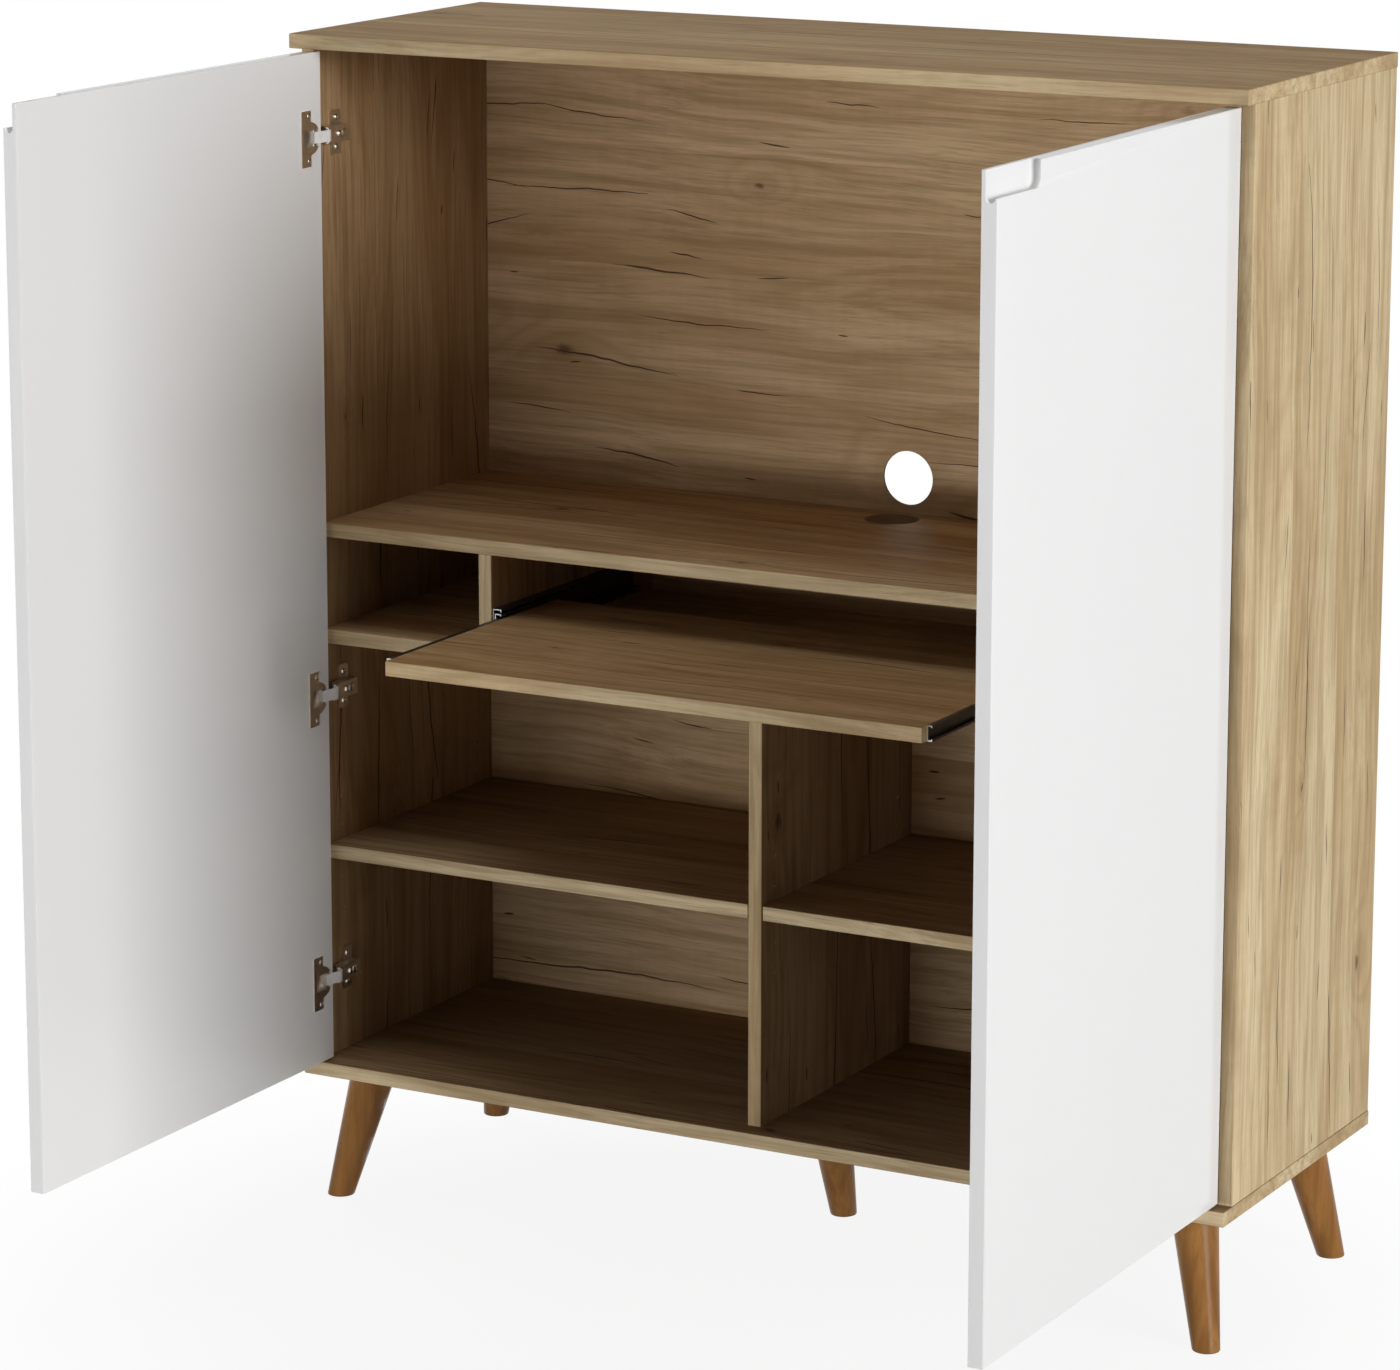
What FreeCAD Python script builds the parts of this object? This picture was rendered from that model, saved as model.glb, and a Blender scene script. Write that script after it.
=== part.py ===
"""Computer armoire on five splayed legs: an oak-decor case with two white overlay doors on concealed
hinges, a fixed desk shelf, a pull-out keyboard tray on ball-bearing slides and two adjustable shelves.

Frame: +X to the right, +Y to the back, +Z up, millimetres. The origin is the bottom centre of the
whole object as it stands open: both doors at a right angle to the front and the tray pulled out.
"""
import FreeCAD
import Part
import math
import os

Vec = FreeCAD.Vector
X_AXIS = Vec(1, 0, 0)
Z_AXIS = Vec(0, 0, 1)
CLOSE = 1e-6                   # values nearer to each other than this are the same

# ---------------------------------------------------------------- driving dimensions
# Case
case_width = 1100.0
case_depth = 393.0
case_height = 1150.0
board = 16.0                   # oak-decor chipboard
edge_radius = 1.5              # edging of the visible front edges
side_inset = 1.0               # top and bottom overhang the sides by this much
side_setback = 22.5            # sides' front edges behind the front of the top and bottom
shelf_setback = 3.0            # fixed shelves and dividers behind the sides' front edges
loose_shelf_setback = 4.0
loose_shelf_gap = 1.0          # play between a loose shelf and the walls beside it

# Back panel, slid into a groove all round
back_thickness = 3.0
back_inset = 11.0              # its rear face in front of the case's rear edges
back_groove_depth = 6.0
back_play = 0.2                # groove wider and deeper than the panel by this much

# Heights of the top faces above the floor
desk_height = 761.0
tray_bay_height = 102.0        # clear height between the shelf under the tray and the desk
tray_rise = 34.0               # tray's top face above that shelf
loose_shelf_height = 401.0

# Cable passages
cable_hole_radius = 30.0
back_hole_rise = 39.0          # centre of the hole in the back panel above the desk
desk_hole_from_back = 39.0     # centre of the hole in the desk, in front of the back panel

# Shelf-pin rows
pin_row_inset = 34.0           # rows from the sides' front edges and from the back panel
pin_hole_radius = 2.5
pin_hole_depth = 7.0
pin_shank_length = 6.5
pin_tongue_length = 9.0
pin_tongue_width = 7.0
pin_tongue_thickness = 2.0
pin_collar_thickness = 1.0
pin_collar_height = 5.0

# Legs
leg_height = 143.0
leg_top_radius = 25.0
leg_foot_radius = 14.5
leg_inset = 56.0               # centres of the leg tops, from the case's front, back and sides
leg_lean = 40.0                # how far the foot stands out from under the leg's top
leg_plate_size = 62.0
leg_plate_thickness = 2.5
leg_plate_corner = 6.0

# Tray and its slides
tray_bay_width = 640.0         # clear width between the two small dividers
tray_depth = 350.0
tray_pulled_out = 235.0        # how far it stands out at rest
tray_closed_setback = 4.5      # its front edge behind the sides' front edges, pushed in
slide_space = 12.0             # between tray and divider
slide_length = 300.0
slide_setback = 3.0            # fixed member behind the divider's front edge
slide_inner_setback = 12.0     # tray member behind the tray's front edge
slide_sheet = 1.2
slide_outer_height = 35.0
slide_middle_height = 25.0
slide_inner_height = 16.0
slide_outer_depth = 10.5
slide_middle_depth = 7.6
slide_inner_depth = 5.6
slide_outer_lip = 3.0
slide_middle_lip = 2.6
slide_inner_lip = 2.2
slide_web_gap = 1.4            # between the webs of the fixed and the middle member
slide_play = 0.3               # between a ball cage and the member that runs past it
outer_cage_length = 140.0
inner_cage_length = 55.0       # stays within both members when the tray is out
cage_width = 4.0
cage_end_gap = 10.0

# Doors
door_thickness = 16.0
door_centre_gap = 3.0          # between the closed doors
door_end_gap = 3.0             # above and below a door
door_standoff = 2.5            # closed door's inner face in front of the sides' front edges
door_edge_radius = 1.0
open_face_inset = 12.2         # open door's inner face inside the side's inner face
open_edge_gap = 7.6            # open door's hinge-side edge in front of the side's front edge

# Handle recess in the top free corner of a door's outer face
grip_length = 90.0
grip_height = 25.0
grip_corner_radius = 9.0
grip_skin = 4.7                # what stays of the door's thickness behind the finger groove
grip_groove_radius = 4.4

# Concealed hinges
hinge_end_inset = 91.0         # top and bottom hinges from the ends of the door
hinge_middle_drop = 54.0       # middle hinge below the underside of the shelf under the tray
cup_radius = 17.5
cup_inset = 21.5               # cup centre from the door's hinge-side edge
cup_depth = 12.5
cup_wall = 0.8
cup_flange_thickness = 1.2
cup_flange_width = 18.0
cup_flange_length = 60.0
cup_flange_corner = 2.0
cup_window_height = 18.0
cup_window_reach = 34.0        # far end of the window, from the door's hinge-side edge
cup_window_dip = 1.0           # how deep the window cuts the near wall of the cup
cup_pin_depth = 4.0            # pivot in the cup below the door's inner face
arm_pivot_rise = 13.0          # pivot off the side's inner face
arm_pivot_behind = 5.4         # pivot behind the side's front edge
arm_width = 17.4
arm_length = 46.0
arm_nose = 4.0                 # cheeks round the pin, from its axis
arm_nose_chamfer = 2.0
arm_web_start = 4.0            # web begins this far behind the pivot
arm_sheet = 1.2
arm_foot_gap = 3.4             # lower edges of the arm's cheeks off the side
arm_throat = 6.0               # cheeks reach down to their feet this far behind the pivot
link_width = 12.4
link_sheet = 1.4
link_crank = 3.8               # underside of the link's web beside the line through its pivots
link_eye_radius = 2.9
hinge_pin_radius = 1.5
hinge_pin_play = 0.05
mount_plate_line = 37.0        # screw line behind the side's front edge
mount_plate_width = 19.0
mount_plate_length = 48.5
mount_plate_thickness = 2.8
mount_wing_corner = 3.0
mount_block_end_gap = 2.0      # rear end of the block in front of the arm's rear end

# ---------------------------------------------------------------- derived places
half_width = case_width / 2
case_bottom = leg_height
case_top = leg_height + case_height
floor_top = case_bottom + board             # top face of the bottom panel
ceiling = case_top - board                  # underside of the top panel
side_outer = half_width - side_inset
side_inner = side_outer - board

door_width = side_outer - door_centre_gap / 2
door_height = ceiling - floor_top - 2 * door_end_gap
door_bottom = floor_top + door_end_gap
door_top = door_bottom + door_height
door_reach = door_width + open_edge_gap - side_setback   # open door in front of the case
case_front = (door_reach - case_depth) / 2
case_back = case_front + case_depth
side_front = case_front + side_setback
back_rear = case_back - back_inset
back_face = back_rear - back_thickness      # front face of the back panel
shelf_front = side_front + shelf_setback

open_edge_y = side_front - open_edge_gap    # hinge-side edge of an open door
open_inner_x = side_inner - open_face_inset # inner face of an open door, right side
open_outer_x = open_inner_x + door_thickness

mid_shelf_height = desk_height - board - tray_bay_height
tray_height = mid_shelf_height + tray_rise
back_hole_height = desk_height + back_hole_rise
hinge_heights = {
    "bottom": door_bottom + hinge_end_inset,
    "middle": mid_shelf_height - board - hinge_middle_drop,
    "top": door_top - hinge_end_inset,
}

divider_inner = tray_bay_width / 2
divider_outer = divider_inner + board
tray_half = divider_inner - slide_space
tray_front = side_front + tray_closed_setback - tray_pulled_out
slide_axis_height = tray_height - board / 2
pin_row_front = side_front + pin_row_inset
pin_row_rear = back_face - pin_row_inset
pin_axis_height = loose_shelf_height - board

parts = {}


# ---------------------------------------------------------------- helpers
def box(x0, x1, y0, y1, z0, z1):
    """Block between two corners."""
    return Part.makeBox(x1 - x0, y1 - y0, z1 - z0, Vec(x0, y0, z0))


def rod(radius, start, end):
    """Cylinder between two points."""
    along = end - start
    return Part.makeCylinder(radius, along.Length, start, along)


def extrude(points, vector):
    """Straight-edged outline swept along a vector."""
    wire = Part.makePolygon(points + [points[0]])
    return Part.Face(wire).extrude(vector)


def round_edges(shape, radius, chosen):
    """Fillet the edges for which chosen(edge) is true."""
    return shape.makeFillet(radius, [edge for edge in shape.Edges if chosen(edge)])


def runs_along(edge, axis):
    """True for a straight edge parallel to an axis."""
    if len(edge.Vertexes) != 2:
        return False
    along = edge.Vertexes[1].Point - edge.Vertexes[0].Point
    return abs(abs(along.normalize().dot(axis)) - 1) < CLOSE


def mirrored(shape):
    """The same shape on the other side of the armoire."""
    return shape.mirror(Vec(0, 0, 0), X_AXIS)


def group(shapes):
    """Separate solids in one node."""
    return Part.makeCompound(shapes)


def lies_at(edge, axis, value):
    """True for an edge whose ends both have the given coordinate."""
    return all(abs(getattr(v.Point, axis) - value) < CLOSE for v in edge.Vertexes)


# ---------------------------------------------------------------- case panels
def back_groove():
    """Groove for the back panel, as one tool for all the panels round it."""
    reach = back_groove_depth + back_play
    return box(-side_inner - reach, side_inner + reach,
               back_face - back_play / 2, back_rear + back_play / 2,
               floor_top - reach, ceiling + reach)


def case_panel(z0):
    """Top or bottom panel: full width and depth, front and side edges rounded."""
    panel = box(-half_width, half_width, case_front, case_back, z0, z0 + board)
    return round_edges(panel, edge_radius, lambda edge: not lies_at(edge, "y", case_back)
                       and not runs_along(edge, Z_AXIS))


def make_case():
    """Top, bottom, two sides and the back."""
    groove = back_groove()
    parts["top_panel"] = case_panel(ceiling).cut(groove)
    parts["bottom_panel"] = case_panel(case_bottom).cut(groove)

    side = box(side_inner, side_outer, side_front, case_back, floor_top, ceiling)
    side = round_edges(side, edge_radius, lambda edge: lies_at(edge, "y", side_front)
                       and runs_along(edge, Z_AXIS))
    side = side.cut([groove] + pin_holes(side_inner, 1))
    parts["side_panel_right"] = side
    parts["side_panel_left"] = mirrored(side)

    reach = back_groove_depth
    back = box(-side_inner - reach, side_inner + reach, back_face, back_rear,
               floor_top - reach, ceiling + reach)
    passage = rod(cable_hole_radius, Vec(0, back_face, back_hole_height),
                  Vec(0, back_rear, back_hole_height))
    parts["back_panel"] = back.cut(passage)


# ---------------------------------------------------------------- shelves and dividers
def shelf(x0, x1, front, back, top):
    """Horizontal board with a rounded front edge."""
    panel = box(x0, x1, front, back, top - board, top)
    return round_edges(panel, edge_radius, lambda edge: lies_at(edge, "y", front)
                       and runs_along(edge, X_AXIS))


def upright(x0, x1, z0, z1):
    """Vertical divider with a rounded front edge, back to the back panel."""
    panel = box(x0, x1, shelf_front, back_face, z0, z1)
    return round_edges(panel, edge_radius, lambda edge: lies_at(edge, "y", shelf_front)
                       and runs_along(edge, Z_AXIS))


def make_inside():
    """Fixed shelves, dividers and the two loose shelves."""
    hole_y = back_face - desk_hole_from_back
    passage = rod(cable_hole_radius, Vec(0, hole_y, desk_height - board), Vec(0, hole_y, desk_height))
    parts["desk_shelf"] = shelf(-side_inner, side_inner, shelf_front, back_face, desk_height).cut(passage)
    parts["mid_shelf"] = shelf(-side_inner, side_inner, shelf_front, back_face, mid_shelf_height)

    divider = upright(divider_inner, divider_outer, mid_shelf_height, desk_height - board)
    parts["tray_divider_right"] = divider
    parts["tray_divider_left"] = mirrored(divider)

    holes = pin_holes(board / 2, -1) + pin_holes(-board / 2, 1)
    parts["centre_divider"] = upright(-board / 2, board / 2, floor_top, mid_shelf_height - board).cut(holes)

    loose = shelf(board / 2 + loose_shelf_gap, side_inner - loose_shelf_gap,
                  side_front + loose_shelf_setback, back_face - loose_shelf_gap, loose_shelf_height)
    parts["lower_shelf_right"] = loose
    parts["lower_shelf_left"] = mirrored(loose)


def pin_holes(wall_x, inward):
    """Blind shelf-pin holes, drilled from the face at wall_x (inward: +1 or -1)."""
    return [rod(pin_hole_radius, Vec(wall_x, y, pin_axis_height),
                Vec(wall_x + inward * pin_hole_depth, y, pin_axis_height))
            for y in (pin_row_front, pin_row_rear)]


def shelf_pin(wall_x, out, y):
    """Spoon-shaped shelf support: shank in the hole, collar on the wall, tongue under the shelf."""
    half = pin_tongue_width / 2
    level = pin_axis_height
    shank = rod(pin_hole_radius, Vec(wall_x - out * pin_shank_length, y, level), Vec(wall_x, y, level))
    outline = [Vec(wall_x, y - half, level),
               Vec(wall_x + out * pin_tongue_length, y - half, level),
               Vec(wall_x + out * pin_tongue_length, y - half, level - pin_tongue_thickness),
               Vec(wall_x + out * pin_collar_thickness, y - half, level - pin_tongue_thickness),
               Vec(wall_x + out * pin_collar_thickness, y - half, level - pin_collar_height),
               Vec(wall_x, y - half, level - pin_collar_height)]
    return shank.fuse(extrude(outline, Vec(0, pin_tongue_width, 0)))


def make_shelf_pins():
    """Four supports under each loose shelf."""
    pins = [shelf_pin(wall_x, out, y) for wall_x, out in ((side_inner, -1), (board / 2, 1))
            for y in (pin_row_front, pin_row_rear)]
    parts["shelf_pins"] = group(pins + [mirrored(pin) for pin in pins])


# ---------------------------------------------------------------- legs
corner_lean = leg_lean / math.sqrt(2)
leg_x = half_width - leg_inset
leg_front_y = case_front + leg_inset
leg_rear_y = case_back - leg_inset
leg_top = case_bottom - leg_plate_thickness
leg_places = {
    "front_left": (Vec(-leg_x, leg_front_y, 0), Vec(-corner_lean, -corner_lean, 0)),
    "front_right": (Vec(leg_x, leg_front_y, 0), Vec(corner_lean, -corner_lean, 0)),
    "rear_left": (Vec(-leg_x, leg_rear_y, 0), Vec(-corner_lean, corner_lean, 0)),
    "rear_right": (Vec(leg_x, leg_rear_y, 0), Vec(corner_lean, corner_lean, 0)),
    "centre": (Vec(0, case_front + case_depth / 2, 0), Vec(0, leg_lean, 0)),
}


def leg(place, lean):
    """Tapered round leg that leans outwards and is sawn level at both ends."""
    foot = place + lean
    rise = place + Vec(0, 0, leg_top) - foot
    length = rise.Length
    axis = rise.normalize()
    taper = (leg_top_radius - leg_foot_radius) / length
    spare = leg_top_radius                   # extra length at both ends, for the level cuts
    cone = Part.makeCone(leg_foot_radius - taper * spare, leg_top_radius + taper * spare,
                         length + 2 * spare, foot - axis * spare, axis)
    reach = leg_lean + 2 * leg_top_radius
    return cone.common(box(foot.x - reach, foot.x + reach, foot.y - reach, foot.y + reach, 0, leg_top))


def make_legs():
    """Five legs, each on a square steel plate with clipped corners."""
    half = leg_plate_size / 2
    parts["legs"] = group([leg(place, lean) for place, lean in leg_places.values()])
    for name, (place, lean) in leg_places.items():
        plate = box(place.x - half, place.x + half, place.y - half, place.y + half, leg_top, case_bottom)
        corners = [edge for edge in plate.Edges if runs_along(edge, Z_AXIS)]
        parts["leg_plate_" + name] = plate.makeChamfer(leg_plate_corner, corners)


# ---------------------------------------------------------------- tray and slides
slide_outer_front = shelf_front + slide_setback
slide_inner_front = tray_front + slide_inner_setback
slide_middle_front = slide_outer_front


def slide_channel(wall_x, toward, depth, height, front, lip):
    """C-shaped steel member: web at wall_x, flanges toward +1 or -1 in x, turned-in lips."""
    half = height / 2
    t = slide_sheet
    profile = [(0, -half), (depth, -half), (depth, -half + lip), (depth - t, -half + lip),
               (depth - t, -half + t), (t, -half + t), (t, half - t), (depth - t, half - t),
               (depth - t, half - lip), (depth, half - lip), (depth, half), (0, half)]
    points = [Vec(wall_x + toward * u, front, slide_axis_height + v) for u, v in profile]
    return extrude(points, Vec(0, slide_length, 0))


def ball_cages(x0, x1, low, high, y0, y1):
    """Pair of ball cages between two slide members, above and below the slide's axis."""
    return [box(x0, x1, y0, y1, slide_axis_height + min(side * low, side * high),
                slide_axis_height + max(side * low, side * high)) for side in (-1, 1)]


def make_tray():
    """Keyboard tray with ball-bearing slides; their middle members stay in over this travel."""
    outer = slide_channel(divider_inner, -1, slide_outer_depth, slide_outer_height,
                          slide_outer_front, slide_outer_lip)
    parts["slide_outer_right"] = outer
    parts["slide_outer_left"] = mirrored(outer)

    middle_x = divider_inner - slide_sheet - slide_web_gap
    middle = slide_channel(middle_x, -1, slide_middle_depth, slide_middle_height,
                           slide_middle_front, slide_middle_lip)
    rear_y = slide_middle_front + slide_length
    cage_x = middle_x - slide_sheet
    outer_cages = ball_cages(cage_x - cage_width, cage_x, slide_middle_height / 2,
                             slide_outer_height / 2 - slide_sheet - slide_play,
                             rear_y - cage_end_gap - outer_cage_length, rear_y - cage_end_gap)
    inner_x = tray_half + slide_inner_depth
    inner_cages = ball_cages(inner_x - cage_width / 2, inner_x, slide_inner_height / 2 + slide_play,
                             slide_middle_height / 2 - slide_sheet,
                             slide_middle_front + cage_end_gap,
                             slide_middle_front + cage_end_gap + inner_cage_length)
    middle = middle.fuse(outer_cages + inner_cages).removeSplitter()
    parts["slide_middle_right"] = middle
    parts["slide_middle_left"] = mirrored(middle)

    inner = slide_channel(tray_half, 1, slide_inner_depth, slide_inner_height,
                          slide_inner_front, slide_inner_lip)
    parts["slide_inner_right"] = inner
    parts["slide_inner_left"] = mirrored(inner)
    parts["keyboard_tray"] = shelf(-tray_half, tray_half, tray_front, tray_front + tray_depth, tray_height)


# ---------------------------------------------------------------- hinges
# The right-hand hinge is drawn and mirrored. Its link turns about the arm's pin while the cup
# turns about the pin in the cup, so that the open and the closed door both stand in place.
arm_pivot = Vec(side_inner - arm_pivot_rise, side_front + arm_pivot_behind, 0)


def cup_pivot_inset():
    """Cup pin from the door's edge: equally far from the arm's pin with the door open and closed."""
    closed_edge = side_outer
    closed_face = side_front - door_standoff
    a = open_inner_x - arm_pivot.x
    b = arm_pivot.y - open_edge_y
    c = closed_edge - arm_pivot.x
    d = arm_pivot.y - closed_face
    return (c * c + d * d - a * a - b * b + 2 * cup_pin_depth * (d - a)) / (2 * (b + c))


cup_pivot = Vec(open_inner_x + cup_pin_depth, open_edge_y - cup_pivot_inset(), 0)
link_length = (arm_pivot - cup_pivot).Length
link_along = (arm_pivot - cup_pivot).normalize()
link_out = Vec(-link_along.y, link_along.x, 0)          # towards the inside of the case


def upright_pin(radius, pivot, height, length):
    """Upright cylinder about a pivot, centred at a height."""
    return Part.makeCylinder(radius, length, Vec(pivot.x, pivot.y, height - length / 2))


def link_point(along, out, z):
    """Point in the link's own plane: along the line of its pins, and out from it."""
    spot = cup_pivot + link_along * along + link_out * out
    return Vec(spot.x, spot.y, z)


def hinge_link(height):
    """Cranked link: a web that clears the door's corner, and a rolled eye round each pin."""
    low = height - link_width / 2
    outside = link_crank + link_sheet
    web_end = link_length - link_eye_radius
    web = [(-link_eye_radius, 0), (link_eye_radius, 0), (link_eye_radius, link_crank),
           (web_end - link_eye_radius, link_crank), (link_length - link_sheet, -link_eye_radius / 2),
           (link_length + link_sheet, link_eye_radius), (web_end, outside), (-link_eye_radius, outside)]
    body = extrude([link_point(along, out, low) for along, out in web], Vec(0, 0, link_width))
    eyes = [upright_pin(link_eye_radius, pivot, height, link_width) for pivot in (cup_pivot, arm_pivot)]
    bores = [upright_pin(hinge_pin_radius + hinge_pin_play, pivot, height, link_width)
             for pivot in (cup_pivot, arm_pivot)]
    return body.fuse(eyes).removeSplitter().cut(bores)


def hinge_cup(height):
    """Drawn cup with its pin and its flange on the door's inner face, windowed for the link."""
    face = open_inner_x
    centre = Vec(face, open_edge_y - cup_inset, height)
    rim = centre - Vec(cup_flange_thickness, 0, 0)
    cup = Part.makeCylinder(cup_radius, cup_depth + cup_flange_thickness, rim, X_AXIS)
    far = open_edge_y - cup_inset - cup_radius
    half = cup_flange_length / 2
    flange = box(rim.x, face, far, far + cup_flange_width, height - half, height + half)
    flange = round_edges(flange, cup_flange_corner, lambda edge: runs_along(edge, X_AXIS)
                         and lies_at(edge, "y", far))
    hollow = Part.makeCylinder(cup_radius - cup_wall, cup_depth - cup_wall, centre, X_AXIS)
    reach = open_edge_y - cup_window_reach
    hollow = hollow.common(box(face, face + cup_depth, reach, open_edge_y,
                               height - cup_radius, height + cup_radius))
    window = box(rim.x, face + cup_window_dip, reach, open_edge_y,
                 height - cup_window_height / 2, height + cup_window_height / 2)
    shell = cup.fuse(flange).removeSplitter().cut([hollow, window])
    offset = cup_inset - cup_pivot_inset() + hinge_pin_radius
    pin_half = math.sqrt((cup_radius - cup_wall / 2) ** 2 - offset ** 2)
    return shell.fuse(upright_pin(hinge_pin_radius, cup_pivot, height, 2 * pin_half))


def hinge_arm(height):
    """Channel-shaped arm over the mounting plate; its cheeks carry the pin of the link."""
    rear = arm_pivot.y + arm_length - arm_nose
    foot = side_inner - arm_foot_gap
    roof = arm_pivot.x - arm_sheet
    low = height - arm_width / 2
    nose = arm_pivot.y - arm_nose
    outline = [Vec(arm_pivot.x, nose, low), Vec(roof, nose + arm_nose_chamfer, low),
               Vec(roof, rear, low), Vec(foot, rear, low), Vec(foot, arm_pivot.y + arm_throat, low),
               Vec(arm_pivot.x + arm_nose, arm_pivot.y, low),
               Vec(arm_pivot.x + arm_nose_chamfer, nose, low)]
    body = extrude(outline, Vec(0, 0, arm_width))
    cheek_gap = arm_width - 2 * arm_sheet
    start = arm_pivot.y + arm_web_start
    front_gap = box(roof, side_inner, nose, start,
                    height - cheek_gap / 2, height + cheek_gap / 2)
    under_roof = box(arm_pivot.x, side_inner, start, rear, height - cheek_gap / 2, height + cheek_gap / 2)
    body = body.cut([front_gap, under_roof])
    return body.fuse(upright_pin(hinge_pin_radius, arm_pivot, height, cheek_gap))


def mount_plate(height):
    """Wing plate on the side panel, with the block that the arm is clipped on."""
    centre_y = side_front + mount_plate_line
    half = mount_plate_width / 2
    wings = box(side_inner - mount_plate_thickness, side_inner, centre_y - half, centre_y + half,
                height - mount_plate_length / 2, height + mount_plate_length / 2)
    corners = [edge for edge in wings.Edges if runs_along(edge, X_AXIS)]
    wings = wings.makeChamfer(mount_wing_corner, corners)
    block_half = arm_width / 2 - arm_sheet
    block = box(arm_pivot.x, side_inner, centre_y - half,
                arm_pivot.y + arm_length - arm_nose - mount_block_end_gap,
                height - block_half, height + block_half)
    return wings.fuse(block).removeSplitter()


def make_hinges():
    """Six concealed hinges: cup, link, arm and mounting plate each."""
    cups = [hinge_cup(height) for height in hinge_heights.values()]
    parts["hinge_cups_right"] = group(cups)
    parts["hinge_cups_left"] = group([mirrored(cup) for cup in cups])
    for name, height in hinge_heights.items():
        for kind, shape in (("link", hinge_link(height)), ("arm", hinge_arm(height)),
                            ("plate", mount_plate(height))):
            parts["hinge_%s_right_%s" % (kind, name)] = shape
            parts["hinge_%s_left_%s" % (kind, name)] = mirrored(shape)


# ---------------------------------------------------------------- doors
def grip_cutter():
    """Handle recess: a pocket open at the top and free edge, with a round groove behind its lip."""
    free_edge = open_edge_y - door_width
    skin_face = open_inner_x + grip_skin
    ledge = door_top - grip_height
    end = free_edge + grip_length
    pocket = box(skin_face, open_outer_x, free_edge, end, ledge, door_top)
    pocket = round_edges(pocket, grip_corner_radius, lambda edge: lies_at(edge, "y", end)
                         and lies_at(edge, "z", ledge))
    r = grip_groove_radius
    bend_r = grip_corner_radius
    mid_x = skin_face + r
    along = rod(r, Vec(mid_x, free_edge, ledge), Vec(mid_x, end - bend_r, ledge))
    up = rod(r, Vec(mid_x, end, ledge + bend_r), Vec(mid_x, end, door_top))
    ring = Part.makeTorus(bend_r, r, Vec(mid_x, end - bend_r, ledge + bend_r), X_AXIS)
    bend = ring.common(box(mid_x - r, mid_x + r, end - bend_r, end + r, ledge - r, ledge + bend_r))
    return pocket.fuse([along, up, bend])


def make_doors():
    """Overlay doors, standing open, with the bores of their cups and the handle recess."""
    free_edge = open_edge_y - door_width
    door = box(open_inner_x, open_outer_x, free_edge, open_edge_y, door_bottom, door_top)
    door = round_edges(door, door_edge_radius, lambda edge: lies_at(edge, "x", open_outer_x))
    bores = [Part.makeCylinder(cup_radius, cup_depth, Vec(open_inner_x, open_edge_y - cup_inset, height),
                               X_AXIS) for height in hinge_heights.values()]
    door = door.cut([grip_cutter()] + bores)
    parts["door_right"] = door
    parts["door_left"] = mirrored(door)


# ---------------------------------------------------------------- build
make_case()
make_inside()
make_shelf_pins()
make_legs()
make_tray()
make_hinges()
make_doors()

os.makedirs("parts", exist_ok=True)
for node, shape in parts.items():
    shape.exportStep("parts/%s.step" % node)
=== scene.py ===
import math

import bpy
from mathutils import Matrix, Vector


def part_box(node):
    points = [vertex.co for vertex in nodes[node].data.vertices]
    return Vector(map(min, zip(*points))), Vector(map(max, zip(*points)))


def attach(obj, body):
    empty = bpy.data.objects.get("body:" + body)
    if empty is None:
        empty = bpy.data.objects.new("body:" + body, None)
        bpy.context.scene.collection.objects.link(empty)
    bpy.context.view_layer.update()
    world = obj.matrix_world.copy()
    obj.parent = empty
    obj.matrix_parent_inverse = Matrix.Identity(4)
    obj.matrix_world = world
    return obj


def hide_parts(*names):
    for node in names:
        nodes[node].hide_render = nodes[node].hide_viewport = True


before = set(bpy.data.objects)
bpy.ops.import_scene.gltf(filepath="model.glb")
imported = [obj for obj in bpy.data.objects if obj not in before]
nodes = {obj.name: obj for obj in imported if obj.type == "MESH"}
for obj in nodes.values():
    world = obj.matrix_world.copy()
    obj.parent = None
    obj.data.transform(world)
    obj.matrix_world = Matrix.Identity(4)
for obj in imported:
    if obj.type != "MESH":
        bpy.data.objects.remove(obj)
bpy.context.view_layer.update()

MM = 0.001

# ---------------------------------------------------------------- sizes
side_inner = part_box("side_panel_right")[0].x
divider_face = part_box("centre_divider")[1].x
bottom_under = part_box("bottom_panel")[0].z
back_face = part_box("back_panel")[0].y
desk_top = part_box("desk_shelf")[1].z
door_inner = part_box("door_right")[0].x
hinge_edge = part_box("door_right")[1].y
cup_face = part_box("hinge_cups_right")[0].x
arm_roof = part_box("hinge_arm_right_top")[0].x

pin_hole_radius = 2.5 * MM
pin_hole_depth = 6.5 * MM       # of the straight part, before the drill's tip
pin_hole_tip = 0.35             # depth of that tip, in radii
pin_hole_pitch = 32.0 * MM
pin_row_front = 126.3 * MM
pin_row_back = 414.8 * MM
pin_level = 385.0 * MM          # of the holes that the loose shelves' pins stand in
FREE_PIN_STEPS = (-2, -1, 1, 2)     # free holes, in pitches from that level

cable_hole_radius = 30.0 * MM
cable_hole_offset = 39.0 * MM   # desk hole from the back panel, back panel hole above the desk
core_fade = (cable_hole_radius + 1.5 * MM, cable_hole_radius + 3.0 * MM)    # end of the bare core

cup_screw_inset = 24.75 * MM    # flange screws from the door's hinge edge
cup_screw_rise = 24.0 * MM
plate_wing = 2.8 * MM           # plate screws stand this far off the side
plate_screw_y = 129.3 * MM
plate_screw_rise = 16.0 * MM
arm_screw_y = 117.7 * MM
arm_cam_y = 128.0 * MM
joint_screw_x = 541.0 * MM      # screws up through the bottom panel into the sides
joint_screw_front = 127.8 * MM
joint_screw_back = 391.8 * MM
leg_screw_inset = 8.0 * MM      # leg plate screws from the plate's edges

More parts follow.
